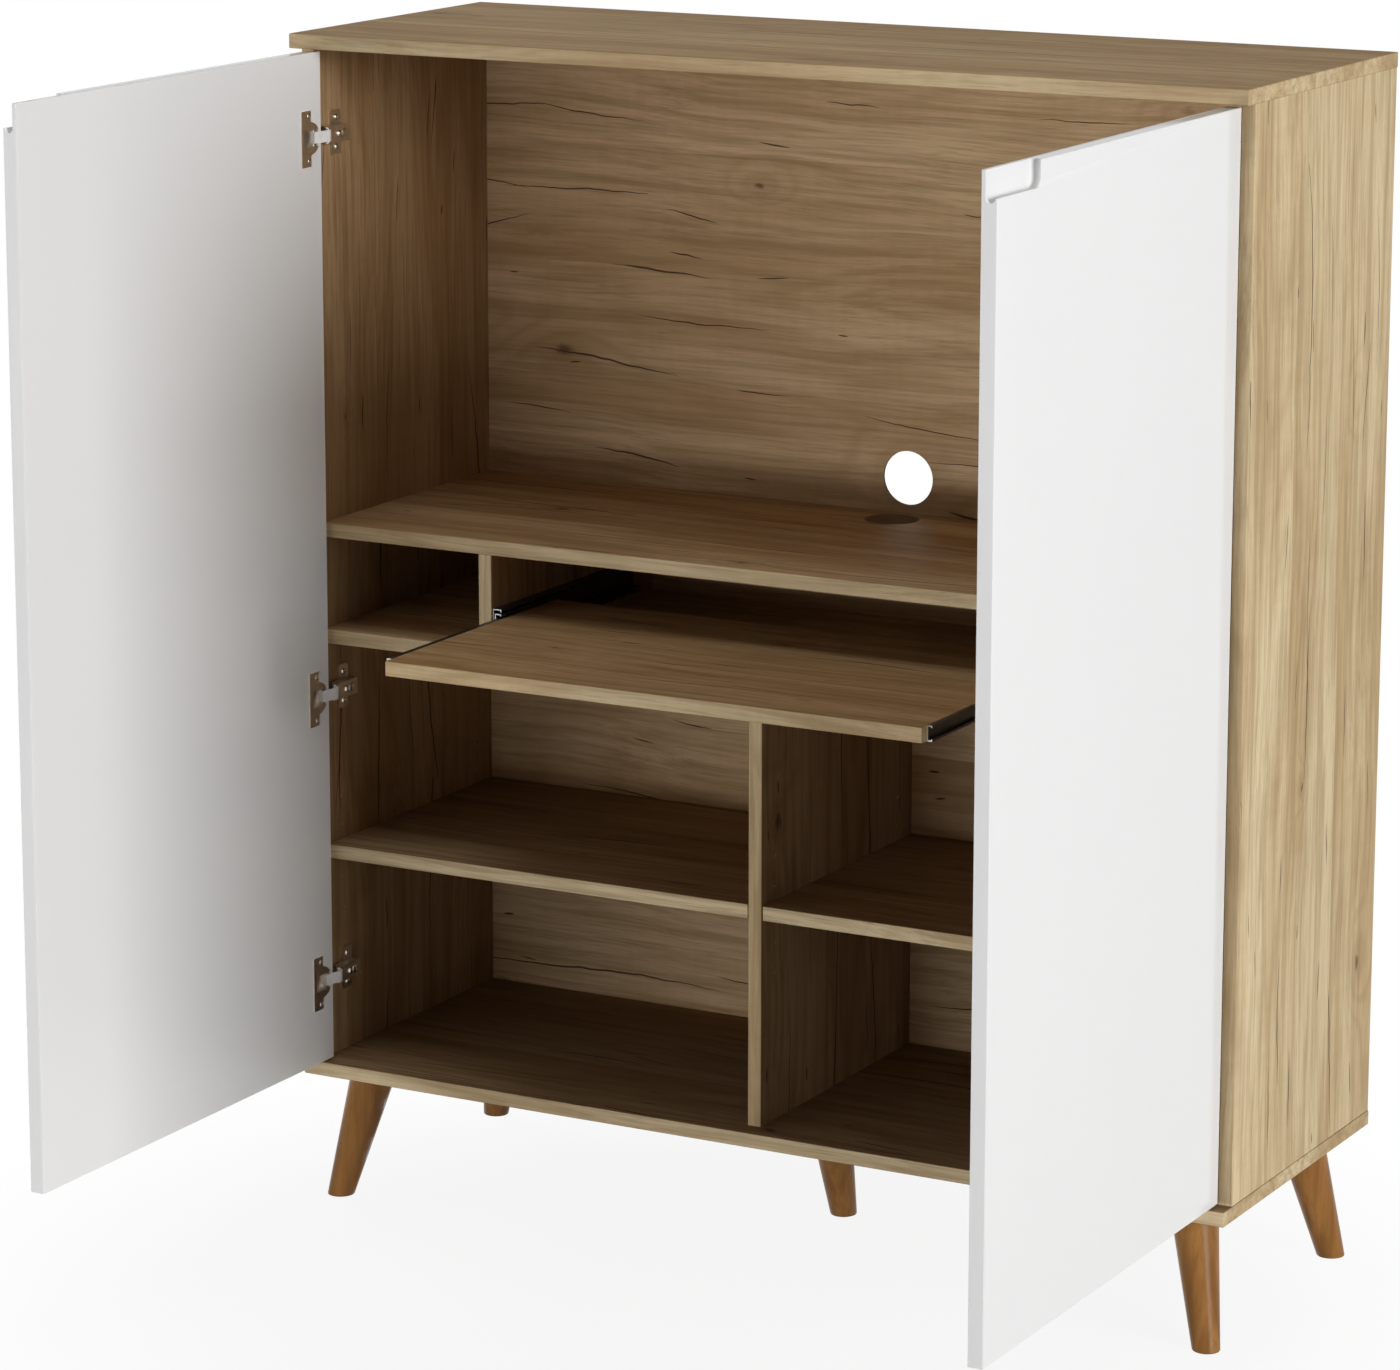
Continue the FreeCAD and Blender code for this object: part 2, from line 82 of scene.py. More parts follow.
foil_turn = (door_inner + 2.0 * MM, door_inner + 4.0 * MM)      # where satin turns to gloss

edging_ease = 0.5 * MM          # softened arrises
foil_ease = 0.6 * MM
leg_ease = 1.5 * MM
EASE_STEPS = 2
EASED_TURN = math.radians(40)   # edges that turn more than this are softened
FLAT_TURN = math.radians(0.5)   # faces that turn less than this are one face
MERGED = 0.01 * MM

SMOOTH_HEADS = math.radians(35)
SMOOTH_EDGES = math.radians(20)     # keeps an eased edge out of the faces beside it

HEIGHTS = ("bottom", "middle", "top")
SIDES = (("left", -1), ("right", 1))
DOWN = (0, 0, -1)

ACROSS_X = (1.0, 0.0, 0.0)
ACROSS_Y = (0.0, 1.0, 0.0)
ACROSS_Z = (0.0, 0.0, 1.0)


# ---------------------------------------------------------------- node trees
MIX_UNDER, MIX_OVER, MIX_COLOUR = 6, 7, 2       # a Mix node's colour sockets
SQUARE_ON = (0.5, 0.9)      # dot product of a face with a direction, from sloping to square on


class Wire:
    """An output socket; sums written on it add Math nodes."""

    def __init__(self, graph, socket):
        self.graph = graph
        self.socket = socket

    def __add__(self, other):
        return self.graph.sum("ADD", self, other)

    def __sub__(self, other):
        return self.graph.sum("SUBTRACT", self, other)

    def __rsub__(self, other):
        return self.graph.sum("SUBTRACT", other, self)

    def __mul__(self, other):
        return self.graph.sum("MULTIPLY", self, other)

    def __truediv__(self, other):
        return self.graph.sum("DIVIDE", self, other)

    def __rtruediv__(self, other):
        return self.graph.sum("DIVIDE", other, self)

    def __pow__(self, other):
        return self.graph.sum("POWER", self, other)

    def __abs__(self):
        return self.graph.sum("ABSOLUTE", self)

    __radd__ = __add__
    __rmul__ = __mul__


class Graph:
    """A node tree in the making."""

    def __init__(self, tree):
        self.tree = tree

    def feed(self, socket, value):
        """Links a wire to the socket, or sets the socket to a number, vector or colour."""
        if isinstance(value, Wire):
            self.tree.links.new(value.socket, socket)
        elif isinstance(value, tuple) and len(socket.default_value) == 4:
            socket.default_value = (*value, 1.0)
        else:
            socket.default_value = value

    def node(self, kind, settings, inputs, output=0):
        """Any node of that kind: its settings go in first, then its inputs."""
        made = self.tree.nodes.new("ShaderNode" + kind)
        for key, value in settings.items():
            setattr(made, key, value)
        for key, value in inputs.items():
            self.feed(made.inputs[key], value)
        return Wire(self, made.outputs[output]) if made.outputs else None

    def sum(self, operation, left, right=0.0, clamp=False):
        settings = {"operation": operation, "use_clamp": clamp}
        return self.node("Math", settings, {0: left, 1: right})

    def vector(self, operation, left, right=(0.0, 0.0, 0.0), output=0):
        return self.node("VectorMath", {"operation": operation}, {0: left, 1: right}, output)

    def joined(self, x, y, z):
        return self.node("CombineXYZ", {}, {"X": x, "Y": y, "Z": z})

    def parts(self, vector):
        first = self.node("SeparateXYZ", {}, {0: vector})
        return [Wire(self, socket) for socket in first.socket.node.outputs]

    def ramp(self, value, span, start=0.0, end=1.0):
        """Smooth step of value from start to end over span."""
        settings = {"interpolation_type": "SMOOTHSTEP"}
        inputs = {"Value": value, "From Min": span[0], "From Max": span[1],
                  "To Min": start, "To Max": end}
        return self.node("MapRange", settings, inputs)

    def mix(self, share, under, over, blend="MIX"):
        """Colour over laid on colour under."""
        settings = {"data_type": "RGBA", "blend_type": blend}
        inputs = {"Factor": share, MIX_UNDER: under, MIX_OVER: over}
        return self.node("Mix", settings, inputs, MIX_COLOUR)

    def seen(self):
        """1 for rays of the camera and for what gloss and glass show, 0 for the rest."""
        camera = self.node("LightPath", {}, {}, "Is Camera Ray")
        gloss = self.node("LightPath", {}, {}, "Is Glossy Ray")
        glass = self.node("LightPath", {}, {}, "Is Transmission Ray")
        return self.sum("MAXIMUM", self.sum("MAXIMUM", camera, gloss), glass)


class Finish(Graph):
    """A material in the making, with constants on its shader."""

    def __init__(self, name, constants):
        self.material = bpy.data.materials.new(name)
        self.material.use_nodes = True
        super().__init__(self.material.node_tree)
        self.shader = self.tree.nodes["Principled BSDF"]
        for socket, value in constants.items():
            self.set(socket, value)

    def set(self, socket, value):
        self.feed(self.shader.inputs[socket], value)

    def place(self, turn=(0, 0, 0), start=(0, 0, 0)):
        spot = self.node("TexCoord", {}, {}, "Object")
        return self.node("Mapping", {}, {"Vector": spot, "Location": start, "Rotation": turn})

    def toward(self, way):
        """How squarely a face looks along way: 1 along it, -1 against it."""
        normal = self.node("TexCoord", {}, {}, "Normal")
        return self.vector("DOT_PRODUCT", normal, way, "Value")

    def noise(self, vector, scale=1.0, detail=2.0, roughness=0.5):
        inputs = {"Vector": vector, "Scale": scale, "Detail": detail, "Roughness": roughness}
        return self.node("TexNoise", {}, inputs)

    def stretched(self, spot, often, detail=2.0, roughness=0.5):
        """Noise that changes often[0], often[1] and often[2] times a metre along the axes."""
        return self.noise(self.vector("MULTIPLY", spot, often), 1.0, detail, roughness)

    def grain(self, spot, often, detail=2.0, roughness=0.5):
        """Noise that changes often[0] times a metre along the grain and often[1] across it."""
        along, across = often
        return self.stretched(spot, (along, across, across), detail, roughness)

    def bump(self, height, distance, strength=1.0):
        inputs = {"Height": height, "Distance": distance, "Strength": strength}
        self.set("Normal", self.node("Bump", {}, inputs))


# ---------------------------------------------------------------- oak decor
GRAIN_ALONG_X = (0.0, 0.0, 0.0)
GRAIN_ON_BACK = (-math.pi / 2, 0.0, 0.0)
GRAIN_UPRIGHT = (0.0, math.pi / 2, 0.0)

OAK_PALE = (0.742, 0.608, 0.391)
OAK_WARM = (0.551, 0.407, 0.232)
OAK_LATE = (0.335, 0.225, 0.115)
OAK_CRACK = (0.050, 0.028, 0.016)
BOARD_CORE = (0.350, 0.240, 0.145)

# painted shade: multipliers on the boards' faces against the edging's, darkening the top and the
# inner faces where shade falls in the compartments; the back's multiplier paints light
PLAIN = (1.0, 1.0, 1.0)
TOP_PAINTED_SHADE = (0.90, 0.77, 0.60)
# painted light on both faces of the back panel
BACK_PAINTED_LIGHT = (1.20, 1.10, 1.06)
DESK_PAINTED_SHADE = (0.84, 0.73, 0.66)
TRAY_PAINTED_SHADE = (0.74, 0.61, 0.49)
SIDE_PAINTED_SHADE = (0.60, 0.49, 0.41)
LOW_PAINTED_SHADE = (0.48, 0.40, 0.35)

# each layer of the decor: changes in a metre along the grain and across it, detail, roughness
SWAY = ((1.6, 5.0), 2.0, 0.5)
CLOUDS = ((1.4, 10.0), 3.0, 0.5)
SHIMMER = ((75.0, 16.0), 2.0, 0.5)
FIGURE = ((0.85, 6.5), 1.6, 0.42)
STREAKS = ((2.6, 95.0), 4.0, 0.62)
FIBRES = ((9.0, 330.0), 3.0, 0.65)
PORES = ((26.0, 850.0), 2.0, 0.6)
SEAM_BREAKS = ((5.0, 0.0), 1.0, 0.5)
KNOT_EDGE = ((90.0, 260.0), 2.0, 0.5)
CRACK_WOBBLE = ((26.0, 9.0), 2.0, 0.5)

# from where to where in its layer each mark comes in, and how strongly it then shows
WARM_SPAN = (0.34, 0.66)
SHIMMER_SHARE = 0.10
STREAK_SPAN = (0.42, 0.67)
STREAK_SHARE = 0.52
LATE_SPAN = (0.35, 1.0)
LATE_SHARE = 0.30
CALM_SPAN = (0.40, 0.60)
CALM_SHARE = 0.45               # of the late wood that stays where the decor is pale
FIBRE_SPAN = (0.46, 0.70)
FIBRE_SHARE = 0.38
PORE_SPAN = (0.55, 0.66)
PORE_SHARE = 0.20
BROKEN_SPAN = (0.45, 0.60)
SEAM_SHARE = 0.45
PLANK_SHARE = 0.16
WHOLE_SPAN = (0.0, 1.0)

PLANK_WIDTH = 0.13
PLANK_SHIFT = (2.7, 1.9)        # how far one plank's figure lies from the next one's
SEAM_WIDTH = 0.0016
WANDER = 0.06                   # how far the grain strays from straight
HALF_RINGS = 30.0               # over the figure's whole range
RINGS_ROUND_KNOT = 0.13

SCATTER = 0.9                   # how unevenly knots and cracks lie
CROSS_SEED = 0.7

KNOT_CELL = (0.70, 0.16)
KNOT_SEED = 3.7
KNOT_LEAST = 0.0020
KNOT_MORE = 0.006
KNOT_ALONG = 0.30               # under 1, so a knot is longer along the grain
KNOT_RAGGED = 0.007
KNOT_GROWN = (0.45, 0.50)       # about half of the spots hold a knot
KNOT_SPAN = (0.2, 1.1)          # in knot sizes from its middle
KNOT_SHARE = 0.65
HALO_SPAN = (0.8, 4.2)
HALO_SHARE = 0.34
SWIRL_SPAN = (0.0, 9.0)

# cell size, seed and width of the long and the short cracks
LONG_CRACKS = ((0.46, 0.090), 1.3, 0.0012)
SHORT_CRACKS = ((0.26, 0.075), 8.1, 0.0008)
CRACK_LEAN = 0.22
CRACK_BEND = 1.6
CRACK_STRAY = 0.006
CRACK_LEAST = 0.006
CRACK_REACH = 0.42              # longest half crack, as a share of its cell
CRACK_RIM = (0.5, 1.3)          # in crack widths from its line
CRACK_TIP = (0.0, 0.25)
CRACK_SHARE = 0.90
HAIR = 0.00002                  # keeps a crack's ends from a width of nothing

OAK_SHINE = 0.02
OAK_ROUGH = 0.44
OAK_ROUGHER = 0.12              # on the fibres
OAK_RELIEF = 0.00006
FIBRE_RELIEF = 0.6
STREAK_RELIEF = 0.4
PORE_RELIEF = 0.7
CRACK_RELIEF = 1.5


def marks(f, spot, cell, seed):
    """Offsets along and across from the nearest of some scattered spots, and its own colour."""
    along, across = f.parts(spot)[:2]
    net = f.joined(along / cell[0] + seed, across / cell[1] + seed * CROSS_SEED, 0.0)
    settings = {"feature": "F1", "voronoi_dimensions": "2D"}
    inputs = {"Vector": net, "Scale": 1.0, "Randomness": SCATTER}
    centre = f.node("TexVoronoi", settings, inputs, "Position")
    own = f.node("TexVoronoi", settings, inputs, "Color")
    out, off = f.parts(f.vector("SUBTRACT", net, centre))[:2]
    return out * cell[0], off * cell[1], f.parts(own)


def drying_cracks(f, spot, cell, seed, width):
    """Short thin cracks that follow the grain and taper off at both ends."""
    out, off, own = marks(f, spot, cell, seed)
    lean = (own[0] - 0.5) * CRACK_LEAN
    bend = (own[1] - 0.5) * CRACK_BEND
    wobble = (f.grain(spot, *CRACK_WOBBLE) - 0.5) * CRACK_STRAY
    half = own[2] * own[2] * cell[0] * CRACK_REACH + CRACK_LEAST
    reach = out / half
    taper = f.sum("SUBTRACT", 1.0, reach * reach, clamp=True)
    aside = abs(off - lean * out - bend * out * out + wobble)
    inside = f.ramp(aside / (taper * width + HAIR), CRACK_RIM, 1.0, 0.0)
    return inside * f.ramp(taper, CRACK_TIP)


def knots(f, lie):
    """Swirl of the grain round each knot, the knot's halo and the knot itself."""
    out, off, own = marks(f, lie, KNOT_CELL, KNOT_SEED)
    size = own[0] * own[0] * KNOT_MORE + KNOT_LEAST
    ragged = (f.grain(lie, *KNOT_EDGE) - 0.5) * KNOT_RAGGED
    reach = ((out * out * KNOT_ALONG + off * off) ** 0.5 + ragged) / size
    grown = f.ramp(own[1], KNOT_GROWN)
    swirl = f.ramp(reach, SWIRL_SPAN, 1.0, 0.0)
    halo = f.ramp(reach, HALO_SPAN, 1.0, 0.0) * grown
    knot = f.ramp(reach, KNOT_SPAN, 1.0, 0.0) * grown
    return swirl, halo, knot


def raw_core(f, colour, flat, way, centre):
    """Bare core on the wall of the cable hole, whose axis runs through centre along way."""
    off = f.vector("SUBTRACT", f.place(), centre)
    level = f.vector("MULTIPLY", off, tuple(1.0 - part for part in way))
    reach = f.vector("LENGTH", level, output="Value")
    return f.mix(f.ramp(reach, core_fade, 1.0, 0.0) * (1.0 - flat), colour, BOARD_CORE)


def oak(name, turn, start, painted_light, way, both=True, hole=None):
    """Oak decor: planks, cathedral figure, fibres, knots and drying cracks.

    painted_light is painted shade (painted light on the back panel) laid on the faces that look
    along way, and on those that look against it too if both is true. hole is the centre of a cable
    hole.
    """
    f = Finish(name, {"Specular IOR Level": OAK_SHINE})
    spot = f.place(turn=turn, start=start)
    along, across, depth = f.parts(spot)
    lane = across / PLANK_WIDTH
    own = f.node("TexWhiteNoise", {"noise_dimensions": "1D"}, {"W": f.sum("FLOOR", lane)})
    seam = f.ramp(f.sum("PINGPONG", lane, 0.5), (0.0, SEAM_WIDTH / PLANK_WIDTH), 1.0, 0.0)
    seam = seam * f.ramp(f.grain(spot, *SEAM_BREAKS), BROKEN_SPAN)
    wander = (f.grain(spot, *SWAY) - 0.5) * WANDER
    lie = f.joined(along + own * PLANK_SHIFT[0], across + wander,
                   depth + wander + own * PLANK_SHIFT[1])

    swirl, halo, knot = knots(f, lie)
    field = f.grain(lie, *FIGURE) + swirl * RINGS_ROUND_KNOT
    late = f.ramp(f.sum("PINGPONG", field * HALF_RINGS, 1.0), LATE_SPAN)
    streak = f.grain(lie, *STREAKS)
    fibre = f.grain(lie, *FIBRES)
    pore = f.ramp(f.grain(lie, *PORES), PORE_SPAN)
    cloud = f.grain(lie, *CLOUDS)
    shimmer = (f.grain(lie, *SHIMMER) - 0.5) * SHIMMER_SHARE
    cracks = f.sum("MAXIMUM", drying_cracks(f, lie, *LONG_CRACKS),
                   drying_cracks(f, lie, *SHORT_CRACKS))
    toward = f.toward(way)
    flat = f.ramp(abs(toward), SQUARE_ON)

    colour = f.mix(f.ramp(cloud + shimmer, WARM_SPAN), OAK_WARM, OAK_PALE)
    for share in (
        f.ramp(streak, STREAK_SPAN) * STREAK_SHARE,
        late * f.ramp(cloud, CALM_SPAN, 1.0, CALM_SHARE) * LATE_SHARE,
        f.ramp(fibre, FIBRE_SPAN) * FIBRE_SHARE + pore * PORE_SHARE,
        f.ramp(own, WHOLE_SPAN, 0.0, PLANK_SHARE),
        (halo * HALO_SHARE + seam * SEAM_SHARE) * flat,
    ):
        colour = f.mix(share, colour, OAK_LATE)
    dark = f.sum("MAXIMUM", cracks * CRACK_SHARE, knot * KNOT_SHARE)
    colour = f.mix(dark * flat, colour, OAK_CRACK)
    # painted shade on the boards' faces where the compartments and the top fall dim, painted light
    # on the back's
    painted_faces = flat if both else f.ramp(toward, SQUARE_ON)
    colour = f.mix(1.0, colour, f.mix(painted_faces, PLAIN, painted_light), "MULTIPLY")
    if hole:
        colour = raw_core(f, colour, flat, way, hole)

    f.set("Base Color", colour)
    f.set("Roughness", fibre * OAK_ROUGHER + OAK_ROUGH)
    raised = fibre * FIBRE_RELIEF + streak * STREAK_RELIEF
    f.bump(raised - pore * PORE_RELIEF - cracks * CRACK_RELIEF, OAK_RELIEF)
    return f.material


# ---------------------------------------------------------------- other finishes
LEG_PALE = (0.345, 0.160, 0.044)
LEG_DARK = (0.215, 0.092, 0.022)
LEG_FIBRE = (0.20, 0.088, 0.026)
LEG_RAY = (0.17, 0.075, 0.024)
LEG_SWAY = (9.0, 9.0, 2.0)          # changes in a metre along each axis
LEG_RAYS = (900.0, 900.0, 110.0)
LEG_BANDS = 75.0
LEG_FIBRES = 420.0
LEG_DRAWN = (1.0, 1.0, 0.045)       # draws bands and fibres out up the leg
LEG_STRAY = (0.03, 0.02)
LEG_RELIEF = 0.00005

FOIL_WHITE = (0.805, 0.805, 0.805)
FOIL_WARM = (0.825, 0.824, 0.821)
FOIL_RIPPLES = 14.0
FOIL_PEEL = 420.0
FOIL_DUST = 3.5
FOIL_GLOSS = 0.10                   # roughness of the outer face, before the peel's
FOIL_SATIN = 0.20                   # how much rougher the inner face is
FOIL_RELIEF = 0.00012

NICKEL = (0.70, 0.67, 0.62)
SATIN_NICKEL = (0.70, 0.63, 0.55)
# painted highlight: near-white colour of the nickel hinge links
LINK_PAINTED_HIGHLIGHT = (0.97, 0.97, 0.96)
ZINC = (0.66, 0.67, 0.69)
SLIDE_SHADE = (0.085, 0.082, 0.080)
# painted highlight on the slides' front and back ends
SLIDE_END_HIGHLIGHT = (0.72, 0.73, 0.74)
WORN = 0.72                         # shade of dull patches against bright ones
PATCHES = 60.0
PLATE_RELIEF = 0.00003
BRUSHED = (260.0, 260.0, 260.0)     # drawing marks in a metre along each axis
DRAWN_ALONG_X = (40.0, 500.0, 500.0)
DRAWN_ALONG_Y = (500.0, 40.0, 500.0)

FLOOR_DARK = (0.62, 0.62, 0.62)
FLOOR_PALE = (0.66, 0.66, 0.66)
FLOOR_SPECKS = 180.0
FLOOR_NEAR = 0.89                   # share of backdrop in the floor under the armoire
FLOOR_FADE = (0.40, 1.0)            # from the middle, where that share rises to all


def leg_wood():
    """Solid hardwood under satin varnish, grain up the leg."""
    f = Finish("satin varnished leg wood", {
        "Coat Weight": 0.03, "Coat Roughness": 0.18, "Specular IOR Level": 0.12})
    spot = f.place()
    sway = f.stretched(spot, LEG_SWAY, 1.5)
    stray = f.joined(sway * LEG_STRAY[0], sway * LEG_STRAY[1], 0.0)
    along = f.vector("ADD", f.vector("MULTIPLY", spot, LEG_DRAWN), stray)
    band = f.noise(along, LEG_BANDS)
    fibre = f.noise(along, LEG_FIBRES, 3.0, 0.6)
    rays = f.stretched(spot, LEG_RAYS, 1.0)
    colour = f.mix(f.ramp(band, (0.3, 0.7)), LEG_PALE, LEG_DARK)
    colour = f.mix(f.ramp(fibre, (0.48, 0.72)) * 0.5, colour, LEG_FIBRE)
    colour = f.mix(f.ramp(rays, (0.62, 0.75)) * 0.3, colour, LEG_RAY)
    f.set("Base Color", colour)
    f.set("Roughness", fibre * 0.10 + 0.24)
    f.bump(fibre, LEG_RELIEF)
    return f.material


def door_foil():
    """White foil: high gloss on the outer face, satin on the inner one."""
    f = Finish("gloss white door foil", {"Specular IOR Level": 0.35})
    spot = f.place()
    outside = f.ramp(abs(f.parts(spot)[0]), foil_turn)
    ripple = f.noise(spot, FOIL_RIPPLES, 1.0)
    peel = f.noise(spot, FOIL_PEEL)
    dust = f.noise(spot, FOIL_DUST, 3.0)
    f.set("Base Color", f.mix(dust, FOIL_WHITE, FOIL_WARM))
    f.set("Roughness", (1.0 - outside) * FOIL_SATIN + peel * 0.05 + FOIL_GLOSS)
    f.bump(ripple + peel * 0.02, FOIL_RELIEF, 0.6)
    return f.material


def plated(name, colour, roughness, often=BRUSHED, metallic=1.0, ends=None):
    """Plated sheet steel with drawing marks and dull patches; ends is a painted highlight on the
    faces that look along Y.
    """
    f = Finish(name, {"Metallic": metallic})
    spot = f.place()
    drawing = f.stretched(spot, often, 3.0, 0.6)
    patch = f.noise(spot, PATCHES, 3.0)
    worn = tuple(part * WORN for part in colour)
    colour = f.mix(f.ramp(patch, (0.35, 0.75)) * 0.5, colour, worn)
    if ends:
        # painted highlight on the ends, against the dark flanks
        colour = f.mix(f.ramp(abs(f.toward(ACROSS_Y)), SQUARE_ON), colour, ends)
    f.set("Base Color", colour)
    f.set("Roughness", drawing * 0.12 + patch * 0.10 + roughness)
    f.bump(drawing, PLATE_RELIEF)
    return f.material


def shadow_floor():
    """Pale studio floor that reads as the backdrop and keeps a soft shadow."""
    f = Finish("pale studio floor", {"Roughness": 0.9})
    spot = f.place()
    x, y = f.parts(spot)[:2]
    away = (x * x + y * y) ** 0.5
    f.set("Base Color", f.mix(f.noise(spot, FLOOR_SPECKS), FLOOR_DARK, FLOOR_PALE))
    lit = Wire(f, f.shader.outputs[0])
    backdrop = f.node("Emission", {}, {"Color": PLAIN, "Strength": 1.0})
    share = f.seen() * f.ramp(away, FLOOR_FADE, FLOOR_NEAR, 1.0)
    blend = f.node("MixShader", {}, {0: share, 1: lit, 2: backdrop})
    f.feed(f.tree.nodes["Material Output"].inputs["Surface"], blend)
    return f.material


# ---------------------------------------------------------------- modelling
def free_hands():
    if bpy.context.object and bpy.context.object.mode != "OBJECT":
        bpy.ops.object.mode_set(mode="OBJECT")
    bpy.ops.object.select_all(action="DESELECT")


def take(piece):
    free_hands()
    piece.select_set(True)
    bpy.context.view_layer.objects.active = piece


def dress(piece, finish):
    piece.data.materials.clear()
    piece.data.materials.append(finish)


def placed(name, data):
    """A new object in the scene."""
    piece = bpy.data.objects.new(name, data)
    bpy.context.scene.collection.objects.link(piece)
    return piece


def settle(piece, name, finish, body=None, smooth=SMOOTH_HEADS):
    """Names a finished piece, puts its place in its mesh and gives it its finish."""
    take(piece)
    bpy.ops.object.transform_apply(location=True, rotation=True, scale=True)
    bpy.ops.object.shade_smooth_by_angle(angle=smooth)
    piece.name = name
    piece.data.name = name
    dress(piece, finish)
    if body:
        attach(piece, body)
    return piece


def pick(piece, test):
    """In edit mode: selects the faces whose normals pass, and nothing else."""
    bpy.ops.object.mode_set(mode="EDIT")
    bpy.ops.mesh.select_mode(type="FACE")
    bpy.ops.mesh.select_all(action="DESELECT")
    bpy.ops.object.mode_set(mode="OBJECT")
    for face in piece.data.polygons:
        face.select = bool(test(face.normal))
    bpy.ops.object.mode_set(mode="EDIT")


def modify(piece, kind, **settings):
    take(piece)
    modifier = piece.modifiers.new(kind.lower(), kind)
    for key, value in settings.items():
        setattr(modifier, key, value)
    bpy.ops.object.modifier_apply(modifier=modifier.name)


def ease(piece, width, **settings):
    modify(piece, "BEVEL", width=width, segments=EASE_STEPS, limit_method="ANGLE",
           angle_limit=EASED_TURN, **settings)


def fresh_copy(node):
    """A merged copy of a CAD node's mesh, free of the node."""
    piece = placed(node + " copy", nodes[node].data.copy())
    take(piece)
    bpy.ops.object.mode_set(mode="EDIT")
    bpy.ops.mesh.select_all(action="SELECT")
    bpy.ops.mesh.remove_doubles(threshold=MERGED)
    bpy.ops.mesh.dissolve_limited(angle_limit=FLAT_TURN)
    bpy.ops.object.mode_set(mode="OBJECT")
    return piece


def copies(first, spots, name, finish, body=None):
    """One piece made of first at every matrix in spots."""
    made = []
    for spot in spots:
        mesh = first.data.copy()
        mesh.transform(spot)
        made.append(placed(name, mesh))
    take(made[0])
    for piece in made:
        piece.select_set(True)
    bpy.ops.object.join()
    return settle(bpy.context.view_layer.objects.active, name, finish, body)


def discard(*pieces):
    for piece in pieces:
        mesh = piece.data
        bpy.data.objects.remove(piece)
        bpy.data.meshes.remove(mesh)


def facing(place, toward, spin=0.0):
    """Matrix that stands a piece made on +Z at place, pointing toward."""
    turn = Vector(toward).to_track_quat("Z", "Y").to_matrix().to_4x4()
    return Matrix.Translation(Vector(place)) @ turn @ Matrix.Rotation(spin, 4, "Z")


# a screw head: its rim, then its shoulder and crown as (rise, width), all as shares
HEAD_RIM = 0.4
HEAD_RISES = ((0.35, 0.86), (0.25, 0.60))
SLOT_WIDTH = 0.24
SLOT_DEPTH = 0.9
SLOT_FLOOR = (0.55, 0.7, 1.0)
HEAD_SIDES = 24
BIT_SIDES = 20
NEARLY_ALONG = 0.9              # of a normal that looks along an axis


def screw_head(radius, height, recess=0.55):
    """Domed head with a cross recess, standing on z = 0."""
    free_hands()
    bpy.ops.mesh.primitive_cylinder_add(vertices=HEAD_SIDES, radius=radius, depth=height * HEAD_RIM,
                                        location=(0, 0, height * HEAD_RIM / 2))
    head = bpy.context.object
    pick(head, lambda normal: normal.z > NEARLY_ALONG)
    for rise, width in HEAD_RISES:
        step = {"value": (0, 0, height * rise)}
        bpy.ops.mesh.extrude_region_move(TRANSFORM_OT_translate=step)
        bpy.ops.transform.resize(value=(width, width, 1.0))
    bpy.ops.object.mode_set(mode="OBJECT")
    for turn in (0.0, math.pi / 2):
        free_hands()
        bpy.ops.mesh.primitive_cube_add(
            size=1.0, location=(0, 0, height), rotation=(0, 0, turn),
            scale=(radius * recess * 2, radius * SLOT_WIDTH, height * SLOT_DEPTH))
        slot = bpy.context.object
        bpy.ops.object.transform_apply(location=True, rotation=True, scale=True)
        pick(slot, lambda normal: normal.z < -NEARLY_ALONG)
        bpy.ops.transform.resize(value=SLOT_FLOOR)
        bpy.ops.object.mode_set(mode="OBJECT")
        modify(head, "BOOLEAN", operation="DIFFERENCE", solver="EXACT", object=slot)
        discard(slot)
    return head


def pin_places(face):
    """Mouths of the free shelf-pin holes in the board face at x = face."""
    levels = [pin_level + step * pin_hole_pitch for step in FREE_PIN_STEPS]
    return [(face, row, level) for row in (pin_row_front, pin_row_back) for level in levels]


def bored_panel(node, name, finish, holes):
    """A board with its rows of blind shelf-pin holes; holes are (place, direction)."""
    panel = fresh_copy(node)
    ease(panel, edging_ease)
    free_hands()
    bpy.ops.mesh.primitive_cylinder_add(vertices=BIT_SIDES, radius=pin_hole_radius,
                                        depth=pin_hole_depth * 2, location=(0, 0, 0))
    bit = bpy.context.object
    pick(bit, lambda normal: abs(normal.z) > NEARLY_ALONG)
    bpy.ops.mesh.inset(thickness=pin_hole_radius / 2, depth=pin_hole_radius * pin_hole_tip)
    bpy.ops.object.mode_set(mode="OBJECT")
    cutter = copies(bit, [facing(place, way) for place, way in holes], name + " cutter", finish)
    modify(panel, "BOOLEAN", operation="DIFFERENCE", solver="EXACT", object=cutter)
    discard(cutter, bit)
    settle(panel, name, finish, "carcass", SMOOTH_EDGES)
    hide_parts(node)


def eased(node, width, body):
    """A board, door or leg with its sharp edges softened, in the node's own finish."""
    piece = fresh_copy(node)
    ease(piece, width, loop_slide=False)    # no corner slides out past the CAD box
    settle(piece, node + "_eased", nodes[node].data.materials[0], body, SMOOTH_EDGES)
    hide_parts(node)
